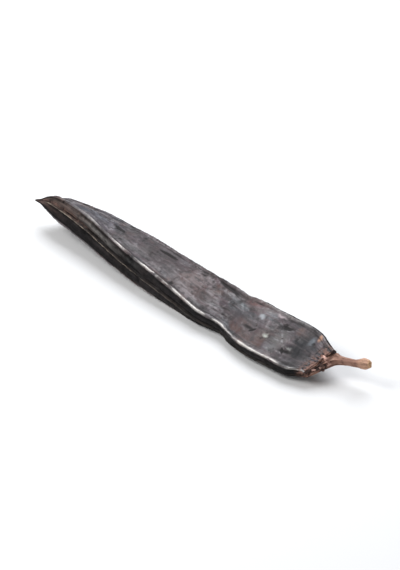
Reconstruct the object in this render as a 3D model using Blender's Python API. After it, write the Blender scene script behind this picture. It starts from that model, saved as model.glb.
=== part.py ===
# Carob pod: one dried pod with its stalk, lying on a surface as it fell.
# The pod runs along X, from its beak at -X to its stalk at +X, with its broad face up.
# It twists along its length, so it rests on the rear margin in its beak half
# and on the front margin past its middle, each pressed flat where it touches.
# Lengths below are in millimetres and become metres when the points are made.

import math

import bmesh
import bpy
import numpy as np

MM = 0.001

# Driving dimensions of the pod
BODY_LENGTH = 165.0
FACE_WIDTH = 21.6
MARGIN_THICKNESS = 11.4

# How the pod changes from beak (0) to stalk end (1).
# Each pair is the share along and the share of the face width there.
WIDTH_SHARES = (
    (0.0, 0.04), (0.012, 0.12), (0.03, 0.3), (0.055, 0.5), (0.09, 0.68), (0.14, 0.79),
    (0.2, 0.87), (0.32, 0.97), (0.45, 1.0), (0.55, 1.0), (0.62, 1.0), (0.665, 0.95),
    (0.7, 0.91), (0.74, 1.03), (0.8, 1.07), (0.86, 1.06), (0.91, 1.06), (0.95, 0.99),
    (0.98, 0.79), (1.0, 0.7),
)

# Share along, and share of the margin thickness
THICKNESS_SHARES = (
    (0.0, 0.07), (0.012, 0.19), (0.03, 0.48), (0.055, 0.74), (0.09, 0.89), (0.14, 0.97),
    (0.25, 1.0), (0.5, 0.99), (0.62, 0.92), (0.7, 0.84), (0.8, 0.8), (0.88, 0.75),
    (0.94, 0.67), (0.98, 0.56), (1.0, 0.46),
)

# Share along, and how thick the underside is there as a share of the upper side
UNDERSIDE_SHARES = (
    (0.0, 1.0), (0.5, 1.0), (0.62, 0.8), (0.7, 0.72), (0.8, 0.67), (0.9, 0.7), (1.0, 0.9),
)

# Share along, and how far the section is turned about the pod's length
TWIST_DEGREES = (
    (0.0, -37.0), (0.1, -33.0), (0.18, -27.5), (0.32, -14.0), (0.5, -2.5), (0.65, 13.5),
    (0.8, 22.5), (0.9, 23.5), (1.0, 25.5),
)

# Share along, and the centre line's place to the side and above the floor
SIDEWAYS = (
    (0.0, 0.0), (0.04, 4.1), (0.09, 5.9), (0.18, 6.5), (0.32, 5.3), (0.47, 3.6), (0.55, 2.9),
    (0.62, 2.1), (0.67, 2.1), (0.73, 0.8), (0.82, -0.9), (0.9, -0.7), (1.0, -1.6),
)
HEIGHT = (
    (0.0, 11.9), (0.09, 9.8), (0.2, 8.3), (0.35, 6.9), (0.47, 5.9), (0.59, 5.5),
    (0.7, 6.0), (0.85, 7.6), (0.93, 7.8), (1.0, 8.1),
)

# Cross-section from the front suture over the top face to the rear suture.
# Each pair is a share of the half width across and a share of the half thickness up.
# It has a raised suture line, a bead along each margin and a shallow furrow inside each bead.
SECTION = (
    (-1.13, 0.0), (-1.055, 0.15), (-1.085, 0.42), (-1.06, 0.66), (-1.01, 0.85), (-0.955, 0.95),
    (-0.895, 0.965), (-0.84, 0.925), (-0.78, 0.875), (-0.56, 0.86), (-0.27, 0.885), (0.02, 0.9),
    (0.3, 0.875), (0.58, 0.845), (0.77, 0.835), (0.84, 0.865), (0.9, 0.9), (0.955, 0.885),
    (1.005, 0.79), (1.05, 0.6), (1.07, 0.3), (1.035, 0.0),
)
FACE_POINTS = (8, 14)
FACE_STEPS = 2

# Stations along the pod, closer together at both ends
STATIONS = 92
STATION_CROWDING = 0.55

# The stalk end is cut on a slant where the stalk's fan takes over
END_SLANT_DEGREES = 18.5
SLANT_BEGINS = 0.84

# Relief of the faces fades out before it reaches the margins
RELIEF_REACH = 1.023
RELIEF_FADE = 5

# Swellings over the seeds, alternately nearer one margin and the other
SEED_COUNT = 11
SEED_SPAN = (0.15, 0.9)
SEED_HEIGHT = 0.6
SEED_ALONG = 4.4
SEED_ACROSS = 5.0
SEED_STAGGER = 1.3

# Creases of the dried skin. In each row: share along at start and end,
# share of the half width across at start and end, depth, half width,
# and the face (1 top, -1 underside). A negative depth is a raised wrinkle.
CREASES = (
    (0.235, 0.275, 0.05, 0.12, 0.75, 1.6, 1),
    (0.375, 0.455, 0.5, 0.62, 0.6, 1.3, 1),
    (0.585, 0.7, 0.8, 0.55, 0.6, 1.3, 1),
    (0.6, 0.68, 0.55, 0.4, -0.4, 1.4, 1),
    (0.715, 0.83, 0.5, 0.72, -0.55, 1.4, 1),
    (0.74, 0.8, -0.28, -0.2, 0.5, 1.5, 1),
    (0.845, 0.9, 0.35, 0.6, 0.5, 1.4, 1),
    (0.87, 0.94, -0.5, -0.3, 0.5, 1.4, 1),
    (0.3, 0.44, -0.6, -0.45, 0.5, 1.5, -1),
    (0.48, 0.66, 0.35, 0.55, 0.6, 1.5, -1),
    (0.7, 0.86, -0.3, 0.0, 0.55, 1.6, -1),
)
CREASE_ENDS = 0.7

# Slow unevenness of both faces
WAVE_HEIGHT = 0.3
WAVE_ALONG = 19.0
WAVE_ACROSS = 13.0

# Stalk: share along, and the centre line's place (along past the pod's end, sideways, above the floor)
STALK_PATH = (
    (0.0, (0.0, -1.6, 8.2)), (0.16, (1.3, 0.8, 8.6)), (0.32, (3.2, 3.1, 9.0)),
    (0.48, (6.6, 4.6, 9.5)), (0.66, (11.0, 5.5, 10.3)), (0.84, (15.6, 6.3, 11.5)),
    (1.0, (19.6, 7.1, 12.8)),
)
STALK_LENGTH = 20.0
STALK_RADII = (
    (0.0, 2.9), (0.2, 2.75), (0.36, 2.35), (0.5, 1.85), (0.66, 1.62), (0.8, 1.7), (0.9, 2.2),
    (0.955, 2.15), (1.0, 1.8),
)
STALK_RINGS = 26
STALK_CROWDING = 0.9

# The stalk starts with the shape of the pod's end and is round from this share on
STALK_ROUND_AT = 0.42
STALK_JOINT_GAP = 0.3
STALK_FLUTES = 5
STALK_FLUTE_DEPTH = 0.07
STALK_END_CHAMFER = 0.35
STALK_END_SHRINK = 0.8

# Small scars standing on the stalk: share along, degrees round from the top, height, reach along and round
STALK_SCARS = (
    (0.4, 20.0, 0.7, 0.8, 32.0),
    (0.9, -15.0, 0.8, 0.9, 34.0),
    (0.88, 150.0, 0.6, 0.9, 36.0),
)

# Plain colours and roughness of the two nodes
SKIN_COLOUR = (0.045, 0.032, 0.030)
SKIN_ROUGHNESS = 0.45
BARK_COLOUR = (0.30, 0.15, 0.085)
BARK_ROUGHNESS = 0.75
SHARP_DEGREES = 50.0


def keyed(keys, at):
    """Smooth curve through keys, each (place, value), read at each place in at."""
    places = np.array([key[0] for key in keys])
    values = np.array([key[1] for key in keys], float).reshape(len(keys), -1)
    slopes = np.gradient(values, places, axis=0)
    at = np.clip(np.atleast_1d(at), places[0], places[-1])
    left = np.clip(np.searchsorted(places, at, side="right") - 1, 0, len(keys) - 2)
    gap = (places[left + 1] - places[left])[:, None]
    t = (at - places[left])[:, None] / gap
    start, end = values[left], values[left + 1]
    start_pull, end_pull = slopes[left] * gap, slopes[left + 1] * gap
    curve = (
        (2 * t**3 - 3 * t**2 + 1) * start
        + (t**3 - 2 * t**2 + t) * start_pull
        + (3 * t**2 - 2 * t**3) * end
        + (t**3 - t**2) * end_pull
    )
    return curve[:, 0] if curve.shape[1] == 1 else curve


def section_shares():
    """The closed cross-section, front suture first and over the top: share across and up of each point."""
    upper = []
    for index, point in enumerate(SECTION[:-1]):
        upper.append(point)
        if FACE_POINTS[0] <= index < FACE_POINTS[1]:
            following = SECTION[index + 1]
            for step in range(1, FACE_STEPS):
                share = step / FACE_STEPS
                upper.append(tuple(a + (b - a) * share for a, b in zip(point, following)))
    upper.append(SECTION[-1])
    lower = [(across, -up) for across, up in reversed(upper[1:-1])]
    return np.array(upper + lower)


def stations():
    """Shares along the pod, closer together near the beak and the stalk."""
    even = np.linspace(0.0, 1.0, STATIONS)
    crowded = (1 - np.cos(math.pi * even)) / 2
    return (1 - STATION_CROWDING) * even + STATION_CROWDING * crowded


def seed_swelling(along_mm, across_mm):
    total = np.zeros_like(along_mm)
    for index, share in enumerate(np.linspace(*SEED_SPAN, SEED_COUNT)):
        stagger = SEED_STAGGER if index % 2 else -SEED_STAGGER
        far_along = (along_mm - share * BODY_LENGTH) / SEED_ALONG
        far_across = (across_mm - stagger) / SEED_ACROSS
        total += SEED_HEIGHT * np.exp(-(far_along**2 + far_across**2))
    return total


def crease_relief(along, across_mm, half_width, side):
    """Height of every crease on one face, negative into the pod."""
    total = np.zeros_like(across_mm)
    for start, end, across_start, across_end, depth, reach, face in CREASES:
        if face != side:
            continue
        t = np.clip((along - start) / (end - start), 0.0, 1.0)
        path = (across_start + (across_end - across_start) * t) * half_width
        ends = np.sin(math.pi * t) ** CREASE_ENDS
        total -= depth * ends * np.exp(-(((across_mm - path) / reach) ** 2))
    return total


def slow_waves(along_mm, across_mm, side):
    along_wave = np.sin(along_mm / WAVE_ALONG * math.tau + side)
    return WAVE_HEIGHT * along_wave * np.cos(across_mm / WAVE_ACROSS * math.tau)


def frame_at(along):
    """Across and up vectors of each station. The slant leans the across vector back at the stalk end."""
    twist = np.radians(keyed(TWIST_DEGREES, along))
    begun = np.clip((along - SLANT_BEGINS) / (1 - SLANT_BEGINS), 0.0, 1.0)
    lean = math.tan(math.radians(END_SLANT_DEGREES)) * begun**2
    across = np.stack([lean, np.cos(twist), np.sin(twist)], axis=1)
    up = np.stack([np.zeros_like(twist), -np.sin(twist), np.cos(twist)], axis=1)
    return across, up


def pod_rings():
    """Points of the pod in millimetres: one ring of the cross-section for each station."""
    along = stations()
    shares = section_shares()
    half_width = keyed(WIDTH_SHARES, along)[:, None] * FACE_WIDTH / 2
    thickness = keyed(THICKNESS_SHARES, along)[:, None]
    underside = keyed(UNDERSIDE_SHARES, along)[:, None]
    across_mm = shares[None, :, 0] * half_width
    up_mm = shares[None, :, 1] * thickness * MARGIN_THICKNESS / 2

    side = np.sign(shares[:, 1])[None, :]
    up_mm = up_mm * np.where(side < 0, underside, 1.0)
    along_mm = along[:, None] * BODY_LENGTH * np.ones_like(across_mm)
    relief = seed_swelling(along_mm, across_mm)
    for face in (1, -1):
        creases = crease_relief(along[:, None], across_mm, half_width, face)
        relief += (side == face) * (creases + slow_waves(along_mm, across_mm, face))
    inside = np.clip(RELIEF_REACH**RELIEF_FADE - np.abs(shares[None, :, 0]) ** RELIEF_FADE, 0.0, 1.0)
    up_mm = up_mm + side * relief * inside * np.clip(thickness, 0.0, 1.0) ** 2

    across, up = frame_at(along)
    centre = np.stack([along * BODY_LENGTH, keyed(SIDEWAYS, along), keyed(HEIGHT, along)], axis=1)
    points = (
        centre[:, None, :]
        + across_mm[:, :, None] * across[:, None, :]
        + up_mm[:, :, None] * up[:, None, :]
    )
    # What would reach below the floor is pressed flat there, and these flats carry the pod
    points[:, :, 2] = np.maximum(points[:, :, 2], 0.0)
    return points


def stalk_rings(pod_end):
    """Points of the stalk in millimetres. Its first ring repeats the pod's end, a small gap away from it."""
    share = np.linspace(0.0, 1.0, STALK_RINGS) ** STALK_CROWDING
    path = keyed(STALK_PATH, share) + np.array([BODY_LENGTH, 0.0, 0.0])
    tangent = np.gradient(path, axis=0)
    tangent /= np.linalg.norm(tangent, axis=1)[:, None]
    level = np.cross(np.array([0.0, 0.0, 1.0]), tangent)
    level /= np.linalg.norm(level, axis=1)[:, None]
    upright = np.cross(tangent, level)

    turn = math.pi - np.arange(len(pod_end)) / len(pod_end) * math.tau
    flutes = 1 + STALK_FLUTE_DEPTH * np.cos(STALK_FLUTES * turn)
    radius = keyed(STALK_RADII, share)[:, None] * flutes[None, :]
    for place, degrees, height, along_reach, round_reach in STALK_SCARS:
        from_top = turn - math.pi / 2 + math.radians(degrees)
        round_gap = np.degrees(np.angle(np.exp(1j * from_top))) / round_reach
        along_gap = (share - place) * STALK_LENGTH / along_reach
        radius += height * np.exp(-(along_gap**2))[:, None] * np.exp(-(round_gap**2))

    tube = (
        path[:, None, :]
        + (radius * np.cos(turn))[:, :, None] * level[:, None, :]
        + (radius * np.sin(turn))[:, :, None] * upright[:, None, :]
    )
    across, up = frame_at(np.array([1.0]))
    outward = np.cross(across[0], up[0])
    outward /= np.linalg.norm(outward)
    fan = pod_end[None, :, :] + (path - path[0])[:, None, :] + outward * STALK_JOINT_GAP
    roundness = np.clip(share / STALK_ROUND_AT, 0.0, 1.0)
    roundness = (roundness * (2 - roundness))[:, None, None]
    rings = (1 - roundness) * fan + roundness * tube
    middle = rings[-1].mean(axis=0)
    chamfer = middle + (rings[-1] - middle) * STALK_END_SHRINK + tangent[-1] * STALK_END_CHAMFER
    return np.concatenate([rings, chamfer[None, :, :]])


def solid_from_rings(name, rings, material):
    """Closed mesh object: quads between neighbouring rings, and a fan of triangles at each end."""
    mesh = bmesh.new()
    rows = [[mesh.verts.new(point * MM) for point in ring] for ring in rings]
    count = len(rows[0])
    for near, far in zip(rows, rows[1:]):
        for index in range(count):
            after = (index + 1) % count
            mesh.faces.new((near[index], near[after], far[after], far[index]))
    for row, ring in ((rows[0], rings[0]), (rows[-1], rings[-1])):
        middle = mesh.verts.new(ring.mean(axis=0) * MM)
        for index in range(count):
            mesh.faces.new((row[index], row[(index + 1) % count], middle))
    bmesh.ops.recalc_face_normals(mesh, faces=mesh.faces)
    data = bpy.data.meshes.new(name)
    mesh.to_mesh(data)
    mesh.free()
    data.shade_smooth()
    data.set_sharp_from_angle(angle=math.radians(SHARP_DEGREES))
    data.materials.append(material)
    made = bpy.data.objects.new(name, data)
    bpy.context.scene.collection.objects.link(made)
    return made


def plain_material(name, colour, roughness):
    material = bpy.data.materials.new(name)
    material.use_nodes = True
    shader = material.node_tree.nodes["Principled BSDF"]
    shader.inputs["Base Color"].default_value = (*colour, 1.0)
    shader.inputs["Roughness"].default_value = roughness
    shader.inputs["Metallic"].default_value = 0.0
    return material


def centre_over_origin(objects):
    """Shifts the points sideways so that the middle of the whole part's box is over the origin."""
    corners = np.array([vertex.co for made in objects for vertex in made.data.vertices])
    middle = (corners.min(axis=0) + corners.max(axis=0)) / 2
    for made in objects:
        for vertex in made.data.vertices:
            vertex.co.x -= middle[0]
            vertex.co.y -= middle[1]


def main():
    for old in list(bpy.data.objects):
        bpy.data.objects.remove(old)
    pod_points = pod_rings()
    skin = plain_material("dried_pod_skin", SKIN_COLOUR, SKIN_ROUGHNESS)
    bark = plain_material("stalk_bark", BARK_COLOUR, BARK_ROUGHNESS)
    pod = solid_from_rings("pod", pod_points, skin)
    stalk = solid_from_rings("stalk", stalk_rings(pod_points[-1]), bark)
    centre_over_origin((pod, stalk))


main()
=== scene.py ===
# Carob pod on a pale floor: its skin, stalk, flakes and light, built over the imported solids.
# Sizes of shapes are in millimetres or shares of the pod's own measures, and become metres in the meshes.
import math
from functools import partial
import bpy
import numpy as np
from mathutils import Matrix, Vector


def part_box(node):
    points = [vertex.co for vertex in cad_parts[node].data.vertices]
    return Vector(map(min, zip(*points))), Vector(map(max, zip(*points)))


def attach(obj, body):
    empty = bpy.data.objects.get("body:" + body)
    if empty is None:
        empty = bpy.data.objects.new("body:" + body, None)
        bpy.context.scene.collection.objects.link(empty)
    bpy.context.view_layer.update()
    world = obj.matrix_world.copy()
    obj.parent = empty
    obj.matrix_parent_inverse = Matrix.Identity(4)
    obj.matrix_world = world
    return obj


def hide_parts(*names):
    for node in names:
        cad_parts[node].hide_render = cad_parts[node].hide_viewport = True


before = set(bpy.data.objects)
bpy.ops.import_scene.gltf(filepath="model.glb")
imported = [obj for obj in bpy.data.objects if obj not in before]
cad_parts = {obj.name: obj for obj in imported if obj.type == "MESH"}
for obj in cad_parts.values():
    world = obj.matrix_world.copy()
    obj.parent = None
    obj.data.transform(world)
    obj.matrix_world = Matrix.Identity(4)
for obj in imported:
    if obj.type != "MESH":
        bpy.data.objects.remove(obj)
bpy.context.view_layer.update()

mm = 0.001
bodyName = "root"
smoothEdge = {"interpolation_type": "SMOOTHSTEP"}  # a Map Range node's setting


# Helpers for colours, nodes and curves

def linearColour(hexText):  # sRGB hex to the linear colour that a socket takes
    channels = [int(hexText[start:start + 2], 16) / 255 for start in (1, 3, 5)]
    return (*[c / 12.92 if c <= 0.04045 else ((c + 0.055) / 1.055) ** 2.4 for c in channels], 1.0)


# adds a node with its settings and links, and gives the output wanted, or the node where it has none
def addNode(tree, kind, inputs=(), out=0, **settings):
    node = tree.nodes.new(kind)
    for name, value in settings.items():
        setattr(node, name, value)
    for key, value in inputs.items() if isinstance(inputs, dict) else enumerate(inputs):
        if isinstance(value, bpy.types.NodeSocket):
            tree.links.new(value, node.inputs[key])
        else:
            node.inputs[key].default_value = value
    return node.outputs[out] if len(node.outputs) else node


def newObject(name, data):  # an object in the scene, at the origin
    made = bpy.data.objects.new(name, data)
    bpy.context.scene.collection.objects.link(made)
    return made


def keyed(keys, at):  # smooth curve through keys of (place, value), read at each place in at
    places = np.array([key[0] for key in keys])
    values = np.array([key[1] for key in keys], float).reshape(len(keys), -1)
    slopes = np.gradient(values, places, axis=0)
    at = np.clip(np.atleast_1d(at), places[0], places[-1])
    left = np.clip(np.searchsorted(places, at, side="right") - 1, 0, len(keys) - 2)
    gap = (places[left + 1] - places[left])[:, None]
    t = (at - places[left])[:, None] / gap
    start, end = values[left], values[left + 1]
    startPull, endPull = slopes[left] * gap, slopes[left + 1] * gap
    curve = (2 * t**3 - 3 * t**2 + 1) * start + (t**3 - 2 * t**2 + t) * startPull
    curve += (3 * t**2 - 2 * t**3) * end + (t**3 - t**2) * endPull
    return curve[:, 0] if curve.shape[1] == 1 else curve


def ramp(low, high, value):
    return np.clip((value - low) / (high - low), 0.0, 1.0)


def smoothStep(low, high, value):
    t = ramp(low, high, value)
    return t * t * (3 - 2 * t)


def bell(value, middle, reach):
    return np.exp(-(((value - middle) / reach) ** 2))


def unit(vectors):
    return vectors / np.linalg.norm(vectors, axis=-1, keepdims=True)


# The pod's form: the same measures as its solid, read at many more points

podForm = {
    "bodyLength": 165.0, "faceWidth": 21.6, "marginThickness": 11.4,
    # share along from beak to stalk, then share of the width or thickness, degrees, or millimetres
    "width": (
        (0.0, 0.04), (0.012, 0.12), (0.03, 0.3), (0.055, 0.5), (0.09, 0.68), (0.14, 0.79),
        (0.2, 0.87), (0.32, 0.97), (0.45, 1.0), (0.55, 1.0), (0.62, 1.0), (0.665, 0.95),
        (0.7, 0.91), (0.74, 1.03), (0.8, 1.07), (0.86, 1.06), (0.91, 1.06), (0.95, 0.99),
        (0.98, 0.79), (1.0, 0.7),
    ),
    "thickness": (
        (0.0, 0.07), (0.012, 0.19), (0.03, 0.48), (0.055, 0.74), (0.09, 0.89), (0.14, 0.97),
        (0.25, 1.0), (0.5, 0.99), (0.62, 0.92), (0.7, 0.84), (0.8, 0.8), (0.88, 0.75),
        (0.94, 0.67), (0.98, 0.56), (1.0, 0.46),
    ),
    # the underside's thickness as a share of the upper side's
    "underside": (
        (0.0, 1.0), (0.5, 1.0), (0.62, 0.8), (0.7, 0.72), (0.8, 0.67), (0.9, 0.7), (1.0, 0.9),
    ),
    "twist": (
        (0.0, -37.0), (0.1, -33.0), (0.18, -27.5), (0.32, -14.0), (0.5, -2.5), (0.65, 13.5),
        (0.8, 22.5), (0.9, 23.5), (1.0, 25.5),
    ),
    "sideways": (
        (0.0, 0.0), (0.04, 4.1), (0.09, 5.9), (0.18, 6.5), (0.32, 5.3), (0.47, 3.6), (0.55, 2.9),
        (0.62, 2.1), (0.67, 2.1), (0.73, 0.8), (0.82, -0.9), (0.9, -0.7), (1.0, -1.6),
    ),
    "height": (
        (0.0, 11.9), (0.09, 9.8), (0.2, 8.3), (0.35, 6.9), (0.47, 5.9), (0.59, 5.5),
        (0.7, 6.0), (0.85, 7.6), (0.93, 7.8), (1.0, 8.1),
    ),
    # half widths across and half thicknesses up, from the front suture over the top to the rear one
    "section": (
        (-1.13, 0.0), (-1.055, 0.15), (-1.085, 0.42), (-1.06, 0.66), (-1.01, 0.85), (-0.955, 0.95),
        (-0.895, 0.965), (-0.84, 0.925), (-0.78, 0.875), (-0.67, 0.8675), (-0.56, 0.86), (-0.415, 0.8725),
        (-0.27, 0.885), (-0.125, 0.8925), (0.02, 0.9), (0.16, 0.8875), (0.3, 0.875), (0.44, 0.86),
        (0.58, 0.845), (0.675, 0.84), (0.77, 0.835), (0.84, 0.865), (0.9, 0.9), (0.955, 0.885),
        (1.005, 0.79), (1.05, 0.6), (1.07, 0.3), (1.035, 0.0),
    ),
    "endSlantDegrees": 18.5, "slantBegins": 0.84, "reliefReach": 1.023, "reliefFade": 5,
    "seedCount": 11, "seedSpan": (0.15, 0.9), "seedHeight": 0.6,
    "seedAlong": 4.4, "seedAcross": 5.0, "seedStagger": 1.3,
    # share along at start and end, share across at start and end, depth, half width, face
    "creases": (
        (0.235, 0.275, 0.05, 0.12, 0.75, 1.6, 1), (0.375, 0.455, 0.5, 0.62, 0.6, 1.3, 1),
        (0.585, 0.7, 0.8, 0.55, 0.6, 1.3, 1), (0.6, 0.68, 0.55, 0.4, -0.4, 1.4, 1),
        (0.715, 0.83, 0.5, 0.72, -0.55, 1.4, 1), (0.74, 0.8, -0.28, -0.2, 0.5, 1.5, 1),
        (0.845, 0.9, 0.35, 0.6, 0.5, 1.4, 1), (0.87, 0.94, -0.5, -0.3, 0.5, 1.4, 1),
        (0.3, 0.44, -0.6, -0.45, 0.5, 1.5, -1), (0.48, 0.66, 0.35, 0.55, 0.6, 1.5, -1),
        (0.7, 0.86, -0.3, 0.0, 0.55, 1.6, -1),
    ),
    # thin creases that only the skin has, in the same form
    "fineCreases": (
        (0.2, 0.3, 0.62, 0.74, 0.35, 0.45, 1), (0.24, 0.262, -0.3, 0.1, 0.4, 0.5, 1),
        (0.262, 0.285, 0.25, -0.15, 0.4, 0.5, 1), (0.38, 0.46, 0.48, 0.6, 0.4, 0.5, 1),
        (0.33, 0.4, -0.35, -0.2, 0.3, 0.5, 1), (0.47, 0.52, 0.1, -0.3, 0.3, 0.6, 1),
        (0.53, 0.58, -0.5, 0.0, 0.35, 0.6, 1), (0.58, 0.7, 0.86, 0.7, 0.45, 0.45, 1),
        (0.6, 0.69, 0.68, 0.5, -0.35, 0.5, 1), (0.64, 0.7, -0.1, -0.5, 0.3, 0.6, 1),
        (0.7, 0.73, 0.6, 0.1, 0.35, 0.6, 1), (0.76, 0.83, 0.58, 0.74, 0.45, 0.5, 1),
        (0.755, 0.825, 0.72, 0.84, -0.4, 0.6, 1), (0.77, 0.8, -0.5, 0.0, 0.35, 0.6, 1),
        (0.835, 0.88, 0.62, 0.4, 0.45, 0.55, 1), (0.86, 0.89, 0.35, -0.25, 0.4, 0.7, 1),
        (0.9, 0.925, 0.6, -0.3, 0.45, 0.7, 1), (0.885, 0.91, -0.2, -0.7, 0.4, 0.6, 1),
        (0.93, 0.95, 0.3, -0.5, 0.4, 0.7, 1), (0.2, 0.3, -0.3, -0.1, 0.35, 0.5, -1),
        (0.36, 0.45, 0.5, 0.3, 0.4, 0.5, -1), (0.5, 0.6, -0.55, -0.3, 0.4, 0.5, -1),
        (0.66, 0.75, 0.4, 0.62, 0.4, 0.5, -1), (0.82, 0.93, -0.5, -0.2, 0.4, 0.5, -1),
    ),
    "creaseEnds": 0.7, "waveHeight": 0.3, "waveAlong": 19.0, "waveAcross": 13.0,
    # share up where a bead begins and is full
    "beadUp": (0.6, 0.8),
    # a thin hard crest on each bead, sharper than in the solid, and the reach of the pale line along it,
    # part wear and part painted highlight
    "crestAt": 0.945, "crestReach": 0.034, "crestHeight": 0.34, "crestLineReach": 0.042,
    # grooves along the margins, under each bead and beside the suture: share up, reach, millimetres
    "grooves": ((0.74, 0.1, 0.45), (0.17, 0.07, 0.3)),
    # share across where the grooves and the margins begin and are full
    "grooveAcross": (0.98, 1.03), "marginAcross": (1.0, 1.04),
    # reach up of the suture, then place and reach across of the furrows inside the beads
    "sutureReach": 0.07, "furrow": (0.81, 0.04),
    # how finely the skin is meshed, and how much finer on the beads and sutures
    "stations": 560, "stationCrowding": 0.35, "ringPoints": 168, "ringSamples": 2000,
    "ringCrowding": 2.2, "crowdedBead": (0.93, 0.08), "crowdedSuture": 0.15,
}


def onBead(form, across, up, middle, reach):  # 1 along the crests of the four beads
    return bell(np.abs(across), middle, reach) * smoothStep(*form["beadUp"], np.abs(up))


def ringCurve(form, count):  # across, up and turn of points round the section, and their places
    upper = list(form["section"])
    points = np.array(upper + [(across, -up) for across, up in reversed(upper[1:-1])])
    halfSize = np.array([form["faceWidth"], form["marginThickness"]]) / 2
    steps = np.linalg.norm(np.diff(np.vstack([points, points[:1]]) * halfSize, axis=0), axis=1)
    perimeter = steps.sum()
    around = np.concatenate([[0.0], np.cumsum(steps[:-1])])
    turn = math.pi - np.arange(len(points)) / len(points) * math.tau
    keys = [
        (place + lap * perimeter, (across, up, angle - lap * math.tau))
        for lap in (-1, 0, 1) for place, (across, up), angle in zip(around, points, turn)
    ]
    fine = np.arange(form["ringSamples"]) / form["ringSamples"] * perimeter
    across, up = keyed(keys, fine).T[:2]
    nearBead = onBead(form, across, up, *form["crowdedBead"])
    nearSuture = bell(up, 0.0, form["crowdedSuture"]) * (np.abs(across) > 1.0)
    crowd = 1 + form["ringCrowding"] * (nearBead + nearSuture)
    reached = np.concatenate([[0.0], np.cumsum(crowd)]) / crowd.sum()
    at = np.interp(np.arange(count) / count, reached, np.append(fine, perimeter))
    return keyed(keys, at), at / perimeter * math.tau, perimeter


def stationShares(form, count):
    even = np.linspace(0.0, 1.0, count)
    crowded = (1 - np.cos(math.pi * even)) / 2
    return (1 - form["stationCrowding"]) * even + form["stationCrowding"] * crowded


def seedSwelling(form, alongMm, acrossMm):
    total = np.zeros_like(alongMm)
    for index, share in enumerate(np.linspace(*form["seedSpan"], form["seedCount"])):
        stagger = form["seedStagger"] if index % 2 else -form["seedStagger"]
        farAlong = (alongMm - share * form["bodyLength"]) / form["seedAlong"]
        farAcross = (acrossMm - stagger) / form["seedAcross"]
        total += form["seedHeight"] * np.exp(-(farAlong**2 + farAcross**2))
    return total


def creaseRelief(form, along, acrossMm, halfWidth, side):
    total = np.zeros_like(acrossMm)
    for start, end, acrossStart, acrossEnd, depth, reach, face in form["creases"] + form["fineCreases"]:
        if face == side:
            t = ramp(start, end, along)
            path = (acrossStart + (acrossEnd - acrossStart) * t) * halfWidth
            total -= depth * np.sin(math.pi * t) ** form["creaseEnds"] * bell(acrossMm, path, reach)
    return total


def sectionFrame(form, along):  # across and up vectors of each station
    twist = np.radians(keyed(form["twist"], along))
    begun = ramp(form["slantBegins"], 1.0, along)
    lean = math.tan(math.radians(form["endSlantDegrees"])) * begun**2
    across = np.stack([lean, np.cos(twist), np.sin(twist)], axis=1)
    up = np.stack([np.zeros_like(twist), -np.sin(twist), np.cos(twist)], axis=1)
    return across, up


def podSurface(form, along, ring):  # the pod's points in millimetres, and the creases' height there
    acrossAt, upAt = ring[None, :, 0], ring[None, :, 1]
    halfWidth = keyed(form["width"], along)[:, None] * form["faceWidth"] / 2
    thickness = keyed(form["thickness"], along)[:, None]
    acrossMm = acrossAt * halfWidth
    upMm = upAt * thickness * form["marginThickness"] / 2
    side = np.sign(upAt)
    upMm = upMm * np.where(side < 0, keyed(form["underside"], along)[:, None], 1.0)
    alongMm = along[:, None] * form["bodyLength"] * np.ones_like(acrossMm)
    relief = seedSwelling(form, alongMm, acrossMm)
    creased = np.zeros_like(relief)
    for face in (1, -1):
        waves = form["waveHeight"] * np.sin(alongMm / form["waveAlong"] * math.tau + face)
        waves *= np.cos(acrossMm / form["waveAcross"] * math.tau)
        creased += (side == face) * creaseRelief(form, along[:, None], acrossMm, halfWidth, face)
        relief += (side == face) * waves
    edge = form["reliefReach"] ** form["reliefFade"]
    inside = np.clip(edge - np.abs(acrossAt) ** form["reliefFade"], 0.0, 1.0)
    crest = form["crestHeight"] * onBead(form, acrossAt, upAt, form["crestAt"], form["crestReach"])
    fullness = np.clip(thickness, 0.0, 1.0) ** 2
    for height, reach, depth in form["grooves"]:
        cut = bell(np.abs(upAt), height, reach) * smoothStep(*form["grooveAcross"], np.abs(acrossAt))
        acrossMm = acrossMm - np.sign(acrossMm) * depth * cut * fullness
    upMm = upMm + side * ((relief + creased) * inside + crest) * fullness
    across, up = sectionFrame(form, along)
    centre = [along * form["bodyLength"], keyed(form["sideways"], along), keyed(form["height"], along)]
    points = np.stack(centre, axis=1)[:, None, :]
    points = points + acrossMm[:, :, None] * across[:, None, :] + upMm[:, :, None] * up[:, None, :]
    points[:, :, 2] = np.maximum(points[:, :, 2], 0.0)
    return points, creased


def ringMesh(name, rings, shift, attributes):  # closed mesh from rings, with values at its points
    rows, count = rings.shape[:2]
    grid = np.arange(rows * count).reshape(rows, count)
    after = np.roll(grid, -1, axis=1)
    faces = np.stack([grid[:-1], grid[1:], after[1:], after[:-1]], axis=-1).reshape(-1, 4).tolist()
    startMiddle, endMiddle = rows * count, rows * count + 1
    faces += [(startMiddle, int(a), int(b)) for a, b in zip(grid[0], after[0])]
    faces += [(endMiddle, int(b), int(a)) for a, b in zip(grid[-1], after[-1])]
    points = np.vstack([rings.reshape(-1, 3), rings[0].mean(axis=0), rings[-1].mean(axis=0)])
    mesh = bpy.data.meshes.new(name)
    mesh.from_pydata(((points + shift) * mm).tolist(), [], faces)
    for label, values in attributes.items():
        wide = values.ndim == 3
        flat = values.reshape(rows * count, -1)
        flat = np.vstack([flat, values[0].mean(axis=0), values[-1].mean(axis=0)])
        made = mesh.attributes.new(label, "FLOAT_VECTOR" if wide else "FLOAT", "POINT")
        made.data.foreach_set("vector" if wide else "value", flat.ravel())
    return newObject(name, mesh)


# millimetres along, and round a cylinder, so that a pattern follows the twist with no seam
def patternPlace(alongMm, radius, angle):
    ones = np.ones_like(alongMm)
    return np.stack([alongMm, ones * radius * np.cos(angle), ones * radius * np.sin(angle)], axis=-1)


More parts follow.
